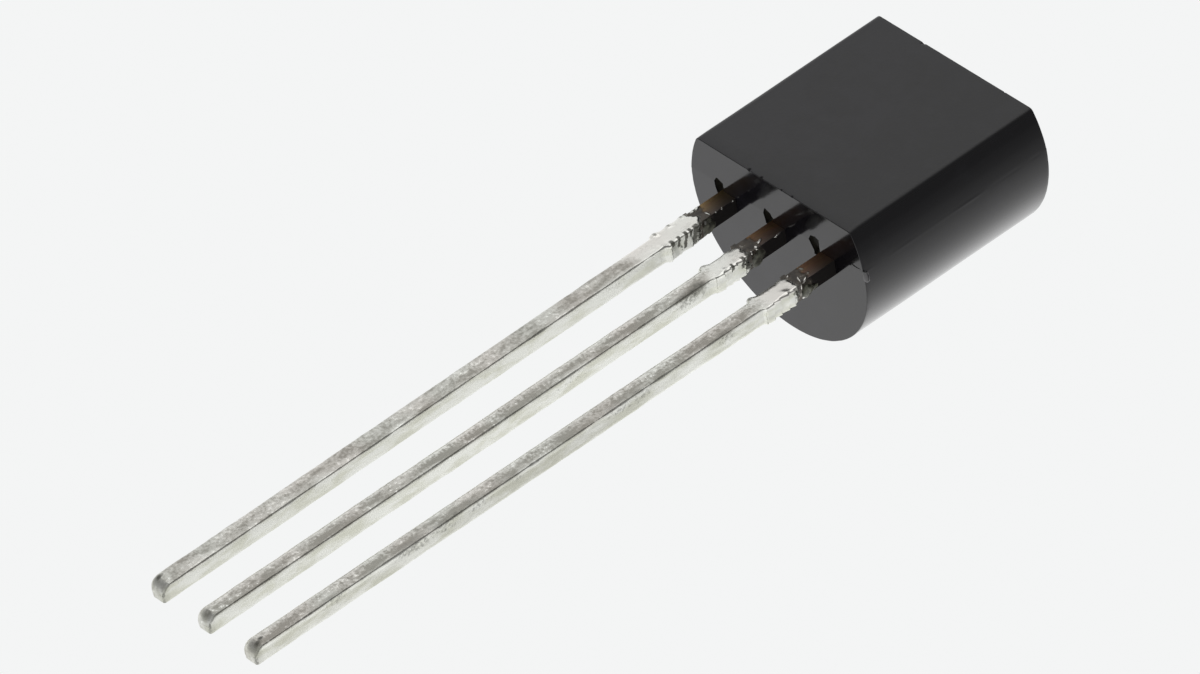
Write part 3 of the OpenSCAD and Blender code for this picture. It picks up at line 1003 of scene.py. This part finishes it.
@dataclass
class SolderCoat:
    """Solder coat of one lead: it starts in a ragged edge, swells over the sheared bar and closes at the end."""

    side: Side
    package: Package = PACKAGE
    # Rings lie close together down to the end of the bar
    fine_step: float = 0.016
    fine_to: float = 1.95
    step: float = 0.04
    ridge_r: float = 0.038
    brow_r: float = 0.15
    low_r: float = 0.07
    heel_r: float = 0.13
    side_points: int = 13
    corner_points: int = 7
    ripple: float = 0.011
    # The first rings follow the ragged edge over this length, and the solder thins out over the other
    edge_blend: float = 0.4
    edge_thin: float = 0.07
    end_r: float = 0.05
    end_roll: float = 0.2
    end_left_r: float = 0.13
    end_turns_deg: tuple[float, ...] = (8, 16, 26, 38, 50, 62, 74, 84, 90)
    # How much flatter than a quarter circle the roll of the end is
    roll_power: float = 1.35
    # Strength of the painted highlight on the brow, and of the painted shade on the strip beside the ridge
    brow_light: float = 0.1
    ridge_shade: float = 0.1
    # Steps in which the solder froze on the sheared right side: pitch along the lead and height
    scallop: tuple[float, float] = (0.17, 0.034)
    # Where the bright bar fades into the greyer shank
    bright_to: float = 1.7
    lump_long: float = 0.085
    lumps: tuple[Lump, ...] = ()
    specks: tuple[Speck, ...] = ()
    streaks: tuple[Streak, ...] = ()
    speckle: tuple[Speckle, ...] = ()
    # Strength of the painted shade that greys the right side towards the cut end
    side_shade: float = 0.0
    # Tongue of solder that crept up the bare lead: place across, half width, reach
    tongue: Point = (0.0, 0.1, 0.0)
    # Grain of the brow and of the rest of the shank
    grains: tuple[float, float] = (0.3, 0.3)
    # Strength of the dirt at the start, in streaks and specks, of the painted shade along the ridge and beside lumps,
    # and of the dirt at the cut
    start_dirt: float = 0.5
    hung_dirt: float = 0.62
    ridge_painted_shade: float = 0.17
    lump_painted_shade: float = 0.48
    rim_dirt: float = 0.42

    @property
    def seed(self) -> float:
        """Keeps the three coats different."""
        return 10.0 + self.side.value

    def half_width(self, s: float) -> float:
        """Half the coat's width at a distance below the seating face.

        Args:
            s: Distance below the seating face.

        Returns:
            Half the width.
        """
        p = self.package
        bar_end = p.bar_start + p.bar_len
        bar = smoothstep(bar_end + 0.05, bar_end - 0.03, s)
        lip = smoothstep(bar_end - 2.2 * p.lip_len, bar_end - 0.6 * p.lip_len, s)
        lip *= smoothstep(bar_end + 0.05, bar_end, s)
        return (p.lead_w + bar * (p.bar_w - p.lead_w) + lip * (p.lip_w - p.bar_w)) / 2 + p.coat_t

    def outline(self, s: float) -> list[Colour]:
        """Rounded section of the coat: sharp along its right ridge, full along its left brow.

        Args:
            s: Distance below the seating face.

        Returns:
            For each corner x, z and the outward normal's x and z, from the right end of the lower face.
        """
        half = self.half_width(s)
        p = self.package
        top, low = p.coat_t, -p.lead_t - p.coat_t
        ridge_r = self.ridge_r * (1 + 0.6 * wobble(0, 2.7 * s, 0, self.seed + 4) + 0.4 * wobble(0, 9 * s, 0, self.seed))
        arcs = []
        for cx, cz, first, r in ((half - self.low_r, low + self.low_r, -90, self.low_r),
                                 (half - ridge_r, top - ridge_r, 0, ridge_r),
                                 (self.brow_r - half, top - self.brow_r, 90, self.brow_r),
                                 (self.heel_r - half, low + self.heel_r, 180, self.heel_r)):
            turn = np.radians(np.linspace(first, first + 90, self.corner_points))
            arcs.append([(cx + r * math.cos(a), cz + r * math.sin(a), math.cos(a), math.sin(a)) for a in turn])
        points = []
        for arc, following in zip(arcs, arcs[1:] + arcs[:1]):
            (ax, az, nx, nz), (bx, bz, _, _) = arc[-1], following[0]
            points += arc + [(ax + (bx - ax) * t, az + (bz - az) * t, nx, nz)
                             for t in np.linspace(0, 1, self.side_points + 2)[1:-1]]
        return points

    def ragged(self, x: float, z: float) -> float:
        """Distance below the seating face at which the coat starts, round the lead.

        Args:
            x: Place across.
            z: Height.

        Returns:
            The distance.
        """
        jag = 0.06 * wobble(7 * x, 0.0, 7 * z, self.seed) + 0.04 * wobble(22 * x, 0.0, 22 * z, self.seed)
        right = smoothstep(0.15, 0.22, x) * smoothstep(0.0, -0.08, z)
        across, wide, reach = self.tongue
        crept = reach * math.exp(-((x - across) / wide) ** 2) * smoothstep(-0.1, -0.02, z)
        return self.package.bare_len - 0.01 + jag * (1 + 1.5 * right) + 0.08 * right - crept

    def surface(self, s: float, x: float, z: float, nx: float, nz: float) -> tuple[float, float]:
        """Moves a corner of the section for ripples, lumps, the slant of the bar and the thin upper edge.

        Args:
            s: Distance below the seating face.
            x: Place across.
            z: Height.
            nx: Outward normal's share across.
            nz: Outward normal's share upwards.

        Returns:
            The corner's new place across and height.
        """
        p = self.package
        ripple = self.ripple * (0.55 * wobble(3.1 * x, 1.7 * s, 3.1 * z, self.seed)
                                + 0.3 * wobble(8 * x, 4.5 * s, 8 * z, self.seed)
                                + 0.15 * wobble(19 * x, 12 * s, 19 * z, self.seed) - 0.35)
        lump = sum(one.height * math.exp(-((s - one.at) / self.lump_long) ** 2) * smoothstep(0.06, 0.22, one.side * x)
                   * smoothstep(-0.25, -0.1, z) for one in self.lumps)
        pitch, height = self.scallop
        step = (s + 0.05 * wobble(0, 5 * s, 0, self.seed + 3) + 0.03 * wobble(0, 0, 9 * z, self.seed)) / pitch
        lump += (height * (1 - step % 1) * smoothstep(0.6, 0.95, nx) * smoothstep(1.95, 1.6, s)
                 * smoothstep(0.9, 1.0, s))
        start = self.ragged(x, z)
        thin = -0.85 * p.coat_t * smoothstep(start + self.edge_thin, start, s)
        slant = 0.08 * x * smoothstep(1.8, 1.6, s) if z > -0.1 else 0.0
        out = ripple + lump + thin
        return x + nx * out, z + nz * out + slant

    def rings(self) -> list[list[Point]]:
        """Rings of the outer surface from the ragged edge to the closed end.

        Returns:
            The rings, each with its corners.
        """
        p = self.package
        end, first = p.lead_reach, p.bare_len - 0.01
        fine = np.arange(first, self.fine_to, self.fine_step)
        stations = [*fine, *np.arange(fine[-1] + self.step, end - self.end_roll, self.step)]
        rings = []
        for s in stations:
            ring = []
            blend = smoothstep(first + self.edge_blend, first, s)
            for x, z, nx, nz in self.outline(s):
                down = s + blend * (self.ragged(x, z) - first)
                sx, sz = self.surface(down, x, z, nx, nz)
                ring.append((sx, -down, sz))
            rings.append(ring)
        # The shear rolled the upper edge over, so that its quarter round takes half the height
        for turn in np.radians(self.end_turns_deg):
            lean = math.sin(turn) ** self.roll_power
            ring = []
            for x, z, nx, nz in self.outline(end):
                round_r = self.end_r + (self.end_left_r - self.end_r) * smoothstep(0.0, -0.7, nx)
                reach = min(round_r / self.end_roll, 1.0)
                inset = round_r * (1 - math.sqrt(max(1 - max((lean - 1 + reach) / reach, 0.0) ** 2, 0.0)))
                sx, sz = self.surface(end, x - nx * inset, z - nz * inset, nx, nz)
                down = end - self.end_roll * (1 - lean)
                ring.append((sx, -down - 0.004 * wobble(9 * x, 0.0, 9 * z, self.seed + 5), self.rolled(turn, sz)))
            rings.append(ring)
        return rings

    def rolled(self, turn: float, z: float) -> float:
        """Lowers the upper face towards the sheared end.

        Args:
            turn: How far round the roll, in radians.
            z: Height before the roll.

        Returns:
            Height after it.
        """
        p = self.package
        drop = self.end_roll * (1 - math.cos(turn) ** self.roll_power)
        low = -p.lead_t - p.coat_t
        return z - drop * max((z - low) / (p.coat_t - low), 0.0) ** 1.3

    def build(self, finish: Material) -> Object:
        """Builds and mounts the coat.

        Args:
            finish: The dipped solder.

        Returns:
            The coat.
        """
        p = self.package
        outer = self.rings()
        count = len(outer[0])
        points, faces = tube(outer)
        faces += [list(range(len(points) - count, len(points))), list(range(count))]
        coat = mesh_object(f"{self.side.coat_node}_skin", points, faces)

        def tip(q: Vector) -> float:
            """The rolled end."""
            return smoothstep(p.lead_reach - 0.9 * self.end_roll, p.lead_reach - 0.4 * self.end_roll, -q.y)

        def dirt_and_shade(q: Vector) -> float:
            """Dirt: flux at the start, streaks below the ridge, specks near the cut end; and painted shade along the
            ridge and beside the lumps.

            Args:
                q: A corner of the coat.

            Returns:
                How dark it is made, by dirt and by painted shade, from 0 to 1.
            """
            s = -q.y
            near = smoothstep(0.07, 0.0, s - self.ragged(q.x, q.z))
            right = smoothstep(0.12, 0.2, q.x)
            bend = 0.25 * q.z
            hang = max((smoothstep(one.wide, 0.6 * one.wide,
                                   abs(s - one.at + bend + 0.02 * wobble(0, 0, 18 * q.z, one.at)))
                        * smoothstep(-one.deep - 0.02, -one.deep + 0.03, q.z) for one in self.streaks), default=0.0)
            # Painted shade along the ridge
            ridge = smoothstep(0.06, 0.17, q.x) * smoothstep(-0.1, -0.01, q.z) * smoothstep(1.6, 2.2, s)
            ridge *= self.ridge_painted_shade * (0.85 + 0.5 * wobble(0, 2.6 * s, 0, self.seed + 16))
            # Painted shade beside the lumps on the left edge
            skin = sum(math.exp(-((s - one.at - 0.02) / 0.06) ** 2) for one in self.lumps if one.side < 0)
            skin *= self.lump_painted_shade * smoothstep(0.06, 0.16, -q.x)
            rim = smoothstep(p.lead_reach - 0.08, p.lead_reach - 0.02, s) * smoothstep(0.12, 0.17, q.x)
            dots = sum(one.strength * math.exp(-((s - one.at) / one.long) ** 4) for one in self.speckle)
            dots *= smoothstep(-0.16, 0.17, q.x) * (0.9 + 0.4 * wobble(2 * q.x, 1.8 * s, 2 * q.z, self.seed + 6))
            dots *= smoothstep(-0.4, -0.1, q.z)
            speck = max((math.exp(-((s - one.at) / (1.6 * one.size)) ** 2 - ((q.x - one.across) / one.size) ** 2)
                         for one in self.specks if q.z > -0.12), default=0.0)
            return max(self.start_dirt * near, self.hung_dirt * right * hang, ridge, self.rim_dirt * rim, dots, skin,
                       self.hung_dirt * speck)

        def smooth_and_lit(q: Vector) -> float:
            """Bright smooth bar and painted highlight on the brow; below zero a duller tip and painted shade beside the
            ridge and on the right side.

            Args:
                q: A corner of the coat.

            Returns:
                How bright it is made, by the smooth bar and by painted highlight and shade.
            """
            s = -q.y
            bar = smoothstep(self.bright_to + 0.3, self.bright_to - 0.2, s + 0.2 * wobble(5 * q.x, 0, 0, self.seed + 2))
            # Painted highlight on the brow; painted shade beside the ridge and on the right side
            brow = self.brow_light * smoothstep(0.0, -0.1, q.x) * smoothstep(-0.25, -0.05, q.z)
            shade = self.ridge_shade * smoothstep(-0.05, 0.08, q.x) * smoothstep(-0.05, -0.01, q.z)
            side = self.side_shade * smoothstep(2.5, 7.0, s)
            side *= smoothstep(-0.03, -0.08, q.z) * smoothstep(0.1, 0.16, q.x)
            brow *= 0.8 + 0.6 * wobble(0, 0.8 * s, 0, self.seed + 7)
            shade *= 0.8 + 0.8 * wobble(0, 0.9 * s, 0, self.seed + 8)
            return bar - side - 0.25 * tip(q) + (1 - bar) * (brow - shade)

        def bloom(q: Vector) -> float:
            """The right side, and the lower part of the end.

            Args:
                q: A corner of the coat.

            Returns:
                How much oxide it carries, from 0 to 1.
            """
            low = 0.016 * wobble(0, 2.2 * q.y, 0, self.seed + 15)
            return max(smoothstep(0.1, 0.16, q.x) * smoothstep(0.032 + low, -0.025 + low, q.z), 0.6 * tip(q))

        def grain(q: Vector) -> float:
            """Crystals of the brow, which run out towards the ridge, and fewer on the bar.

            Args:
                q: A corner of the coat.

            Returns:
                How much the crystals show.
            """
            brow, rest = self.grains
            edge = 0.02 + 0.06 * wobble(0, 1.3 * q.y, 0, self.seed + 11)
            here = rest + (brow - rest) * smoothstep(edge + 0.08, edge - 0.08, q.x) * smoothstep(-0.3, -0.1, q.z)
            return here * (0.75 + 0.5 * wobble(0, 0.7 * q.y, 0, self.seed + 12))

        for mask in (dirt_and_shade, smooth_and_lit, bloom, grain):
            set_mask(coat, mask.__name__, mask)
        coat.data.transform(p.toe_in(self.side))
        return mount(coat, finish, [self.side.coat_node], sharp_deg=50)


@dataclass(frozen=True)
class Drop:
    """A flat drop that clings to a lead, in millimetres.

    Across runs from the middle of the upper face; past an edge it goes on down that side.
    """

    down: float
    across: float
    length: float
    width: float
    turn_deg: float = 0.0
    height: float = 0.02


@dataclass
class Splash:
    """Drops that splashed on the bare copper of one lead and froze there, thin and uneven."""

    kind: str
    side: Side
    drops: tuple[Drop, ...]
    package: Package = PACKAGE
    rim_points: int = 20
    edge_r: float = 0.03
    unevenness: float = 0.35
    # Outline and height of each layer, as shares of the drop's; the lowest lies in the metal
    layers: tuple[tuple[float, float], ...] = ((1.0, 0.0), (0.88, 0.5), (0.62, 0.85), (0.3, 1.0))
    sunk: tuple[float, float] = (0.9, -0.02)

    def wrap(self, across: float, lift: float) -> tuple[float, float]:
        """Folds a place across the lead over its edges.

        Args:
            across: Distance from the middle of the upper face.
            lift: Height above the surface.

        Returns:
            The place's x and z.
        """
        side = math.copysign(1, across)
        flat = self.package.lead_w / 2 - self.edge_r
        over = abs(across) - flat
        if over <= 0:
            return across, lift
        turn = min(over / self.edge_r, math.pi / 2)
        down = over - turn * self.edge_r
        reach = self.edge_r + lift
        return side * (flat + reach * math.sin(turn)), reach * math.cos(turn) - self.edge_r - down

    def build(self, finish: Material, slot: str) -> Object:
        """Builds and mounts all the drops as one piece.

        Args:
            finish: What the drops are of.
            slot: The record's material slot, or "" where it has none; not used.

        Returns:
            The drops of one lead.
        """
        points: list[Point] = []
        faces: list[list[int]] = []
        for number, drop in enumerate(self.drops):
            c, s = math.cos(math.radians(drop.turn_deg)), math.sin(math.radians(drop.turn_deg))
            rings = []
            for share, lift in (self.sunk, *((share, high * drop.height) for share, high in self.layers)):
                ring = []
                for k in range(self.rim_points):
                    a = 2 * math.pi * k / self.rim_points
                    ca, sa = math.cos(a), math.sin(a)
                    rim = share * (1 + self.unevenness * wobble(1.9 * ca, 1.9 * sa, 3.7 * number, self.side.value))
                    u, v = 0.5 * drop.length * rim * ca, 0.5 * drop.width * rim * sa
                    x, z = self.wrap(drop.across + u * s + v * c, lift)
                    ring.append((x, -(drop.down + u * c - v * s), z))
                rings.append(ring)
            skin, sides = tube(rings, capped=True)
            faces += [[len(points) + i for i in face] for face in sides]
            points += skin
        splash = mesh_object(f"{self.side.lead_node}_{self.kind}", points, faces)
        set_mask(splash, "smooth_and_lit", lambda q: 0.7)
        splash.data.transform(self.package.toe_in(self.side))
        return mount(splash, finish, sharp_deg=60)


@dataclass
class ChipParts:
    """The parts sealed in the resin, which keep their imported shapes: die, its bond, and the two wires."""

    def dress(self) -> None:
        """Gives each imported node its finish."""
        finishes = {"die_attach": SilverEpoxy().material(), "silicon_die": PolishedSilicon().material(),
                    "left_bond_wire": DrawnGold().material()}
        finishes["right_bond_wire"] = finishes["left_bond_wire"]
        for name, material in finishes.items():
            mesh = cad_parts[name].data
            mesh.materials.clear()
            mesh.materials.append(material)
            log.info("%s: dressed", name)


@dataclass
class Studio:
    """A light table in a dim room with one bright wall, a large soft light overhead, and the camera."""

    azimuth: float = 48.114
    elevation: float = 34.762
    aim_mm: Point = (0.0, 0.1657, 1.9321)
    distance_mm: float = 299.0
    focal_px: float = 16999.0
    frame_px: float = 1200.0
    sensor_mm: float = 36.0
    table_size: float = 3.0
    table_light: float = 0.92
    table_gap: float = 0.002
    # Light of the table as the part mirrors it: distance to the right in millimetres, light
    pool: tuple[tuple[float, float], ...] = ((-5.0, 0.97), (1.0, 1.0), (1.7, 1.3), (2.3, 1.3), (2.8, 1.17), (3.5, 1.02),
                                             (4.4, 0.88), (5.9, 0.74), (9.0, 0.46), (19.0, 0.3), (45.0, 0.25))
    # The table's front mirrors dimmer: from and to in millimetres, and the share of light left
    front_mm: tuple[float, float] = (-30.0, -10.0)
    front_light: float = 0.4
    bright_wall: Point = (-0.82, 0.5, 0.25)
    # Light of the room: cosine of the angle from the bright wall, light
    room: tuple[tuple[float, float], ...] = ((0.35, 0.2), (0.5, 0.32), (0.86, 0.7), (1.0, 0.9))
    opal: str = "#fdfefe"
    # Softbox: width and depth in metres, its place, and its power in watts
    lamp_size: tuple[float, float] = (0.9, 0.7)
    lamp_place: Point = (-0.25, 0.1, 0.9)
    lamp_power: float = 1.5

    def glow(self, name: str, strength: float) -> Material:
        """An even pale glow, seen from above only.

        Args:
            name: The material's name.
            strength: Light given off.

        Returns:
            The material.
        """
        material = bpy.data.materials.new(name)
        tree = empty_tree(material)
        light = add(tree, "Emission", {"Color": linear(self.opal), "Strength": strength})
        clear = add(tree, "BsdfTransparent")
        behind = add(tree, "NewGeometry").outputs["Backfacing"]
        shade = add(tree, "MixShader", {0: behind, 1: light, 2: clear})
        add(tree, "OutputMaterial", {"Surface": shade})
        return material

    def sheet(self, name: str, corners: Sequence[Point], material: Material) -> Object:
        """A flat stage piece from its corners, in metres.

        Args:
            name: The piece's name.
            corners: Its corners in order.
            material: What it is made of.

        Returns:
            The sheet.
        """
        mesh = bpy.data.meshes.new(name)
        mesh.from_pydata(corners, [], [list(range(len(corners)))])
        mesh.materials.append(material)
        piece = link_object(name, mesh)
        return piece

    def build_table(self) -> None:
        """The light table, and a pale cove round it that only the camera sees."""
        h = self.table_size / 2
        corners = [(x, y, -self.table_gap * MM) for x, y in ((-h, -h), (h, -h), (h, h), (-h, h))]
        table = self.sheet("light_table", corners, self.glow("opal_acrylic", self.table_light))
        table.visible_glossy = False
        self.only_seen_by(self.sheet("light_pool", corners, self.fading_glow()), glossy=True)
        work = bmesh.new()
        bmesh.ops.create_icosphere(work, subdivisions=4, radius=2 * self.table_size)
        bmesh.ops.reverse_faces(work, faces=work.faces)
        cove = bmesh_object("cove", work)
        cove.data.materials.append(self.glow("painted_cove", self.table_light))
        self.only_seen_by(cove, camera=True)

    def fading_glow(self) -> Material:
        """The table as mirrored in the part: its light fades to the right, as if the table ended in a dim room.

        Returns:
            The material.
        """
        material = bpy.data.materials.new("opal_acrylic_fading")
        tree = empty_tree(material)
        place = add(tree, "SeparateXYZ", {0: add(tree, "TexCoord").outputs["Object"]})
        near, far = self.pool[0][0], self.pool[-1][0]
        across = add(tree, "MapRange", {"Value": place.outputs["X"], "From Min": near * MM, "From Max": far * MM})
        peak = max(light for _, light in self.pool)
        ramp = add(tree, "ValToRGB", {"Fac": across},
                   stops=[((x - near) / (far - near), grey(light / peak)) for x, light in self.pool])
        back, edge = (at * MM for at in self.front_mm)
        front = add(tree, "MapRange", {"Value": place.outputs["Y"], "From Min": back, "From Max": edge,
                                                 "To Min": self.front_light * peak, "To Max": peak})
        light = add(tree, "Emission", {"Color": ramp, "Strength": front})
        add(tree, "OutputMaterial", {"Surface": light})
        return material

    def only_seen_by(self, piece: Object, camera: bool = False, glossy: bool = False) -> None:
        """Limits which rays meet a stage piece."""
        piece.visible_camera, piece.visible_glossy = camera, glossy
        piece.visible_diffuse = piece.visible_transmission = piece.visible_shadow = False

    def build_room(self) -> None:
        """Light of the room: a bright wall at the back left, and dim on every other side."""
        world = bpy.data.worlds.new("studio")
        bpy.context.scene.world = world
        tree = empty_tree(world)
        look = add(tree, "TexCoord").outputs["Generated"]
        wall = Vector(self.bright_wall).normalized()
        facing = add(tree, "VectorMath", {0: look, 1: wall}, operation="DOT_PRODUCT")
        room = add(tree, "ValToRGB", {"Fac": facing.outputs["Value"]},
                   stops=[(place, grey(light)) for place, light in self.room])
        shade = add(tree, "Background", {"Color": room, "Strength": 1.0})
        add(tree, "OutputWorld", {"Surface": shade})

    def build_lamps(self) -> None:
        """One large soft light overhead."""
        lamp = bpy.data.lights.new("softbox", "AREA")
        lamp.shape, lamp.energy = "RECTANGLE", self.lamp_power
        lamp.size, lamp.size_y = self.lamp_size
        softbox = link_object("softbox", lamp)
        softbox.location = self.lamp_place
        softbox.rotation_euler = (-Vector(softbox.location)).to_track_quat("-Z", "Y").to_euler()

    def build_camera(self) -> None:
        """The camera, at the photograph's angle."""
        a, e = math.radians(self.azimuth), math.radians(self.elevation)
        back = Vector((math.sin(a) * math.cos(e), -math.cos(a) * math.cos(e), math.sin(e)))
        data = bpy.data.cameras.new("camera")
        data.sensor_width = self.sensor_mm
        data.lens = self.focal_px / self.frame_px * self.sensor_mm
        data.clip_start, data.clip_end = 0.01, 100.0
        camera = link_object("camera", data)
        camera.location = (Vector(self.aim_mm) + back * self.distance_mm) * MM
        camera.rotation_euler = (-back).to_track_quat("-Z", "Y").to_euler()
        bpy.context.scene.camera = camera

    def build(self) -> None:
        """Sets up the table, the lights and the camera, and shows light values as they are."""
        bpy.context.scene.view_settings.view_transform = "Standard"
        self.build_table()
        self.build_room()
        self.build_lamps()
        self.build_camera()
        log.info("studio: ready")


COATS = (
    SolderCoat(Side.LEFT, brow_r=0.1, bright_to=2.35, grains=(0.6, 0.35), tongue=(0.02, 0.11, 0.13),
               scallop=(0.23, 0.02), speckle=(Speckle(3.0, 0.9, 0.3), Speckle(7.0, 2.5, 0.2)),
               lumps=(Lump(0.97, -1, 0.018), Lump(1.28, -1, 0.02), Lump(1.6, -1, 0.026), Lump(1.66, 1, 0.02)),
               specks=(Speck(13.5, -0.09, 0.07),),
               streaks=(Streak(0.9, 0.06, 0.36), Streak(1.02, 0.08, 0.34), Streak(1.15, 0.05, 0.08),
                        Streak(1.25, 0.05, 0.27), Streak(1.42, 0.045, 0.15), Streak(1.58, 0.07, 0.05))),
    SolderCoat(Side.CENTRE, brow_r=0.19, brow_light=0.85, ridge_shade=0.4, grains=(1.0, 0.25),
               speckle=(Speckle(2.25, 0.45, 0.46), Speckle(5.5, 1.5, 0.26)),
               lumps=(Lump(1.1, -1, 0.012), Lump(1.62, -1, 0.035), Lump(1.5, 1, 0.015)),
               streaks=(Streak(0.93, 0.08, 0.25), Streak(1.06, 0.05, 0.14), Streak(1.3, 0.04, 0.07))),
    SolderCoat(Side.RIGHT, brow_r=0.18, brow_light=0.7, ridge_shade=0.4, grains=(1.0, 0.35), side_shade=0.4,
               speckle=(Speckle(2.6, 0.3, 0.36), Speckle(4.5, 1.2, 0.32), Speckle(10.0, 4.0, 0.32)),
               lumps=(Lump(1.0, -1, 0.02), Lump(1.68, -1, 0.035), Lump(1.2, 1, 0.02)),
               specks=(Speck(13.5, 0.08, 0.07), Speck(13.4, 0.03, 0.05)), streaks=(Streak(0.93, 0.05, 0.2),)))
DROPS = (
    Splash("drops", Side.LEFT, (
        Drop(0.63, -0.16, 0.13, 0.09, 20), Drop(0.6, 0.1, 0.04, 0.12, 10, 0.01), Drop(0.75, -0.14, 0.12, 0.06),
        Drop(0.33, 0.18, 0.05, 0.025, 30), Drop(0.06, 0.18, 0.045, 0.025), Drop(0.47, 0.175, 0.03, 0.02))),
    Splash("drops", Side.CENTRE, (
        Drop(0.5, 0.07, 0.17, 0.05, 25, 0.01), Drop(0.66, 0.15, 0.11, 0.08, 60), Drop(0.17, 0.18, 0.18, 0.025, 8),
        Drop(0.8, 0.19, 0.08, 0.05, 70))),
    Splash("drops", Side.RIGHT, (
        Drop(0.765, 0.09, 0.2, 0.045, 70), Drop(0.68, 0.16, 0.2, 0.04, 25), Drop(0.81, 0.25, 0.05, 0.14),
        Drop(0.79, 0.49, 0.08, 0.07, height=0.03), Drop(0.84, -0.12, 0.07, 0.05, 20))))
CRUSTS = (
    Splash("flux", Side.LEFT, (Drop(0.7, 0.4, 0.36, 0.28, 10), Drop(0.68, 0.25, 0.2, 0.14, -30, 0.015))),
    Splash("flux", Side.CENTRE, (Drop(0.7, 0.41, 0.42, 0.3, 20), Drop(0.66, 0.3, 0.2, 0.16, 30, 0.012))),
    Splash("flux", Side.RIGHT, (Drop(0.68, 0.42, 0.3, 0.28, 25, 0.04), Drop(0.53, 0.44, 0.2, 0.14))))


def main() -> None:
    """Builds the classes in order."""
    logging.basicConfig(level=logging.INFO, format="%(message)s")
    Studio().build()
    epoxy = MouldedEpoxy().material()
    body = ResinBody()
    body.build(epoxy)
    body.build_gate(epoxy)
    body.build_burr(epoxy)
    body.build_crease(epoxy)
    copper, solder, flux = BareCopper().material(), DippedSolder().material(), BurntFlux().material()
    for coat in COATS:
        CopperLead(coat.side).build(copper)
        coat.build(solder)
    for splash in DROPS:
        splash.build(solder, "solder")
    for crust in CRUSTS:
        crust.build(flux, "")
    ChipParts().dress()


if __name__ == "__main__":
    main()
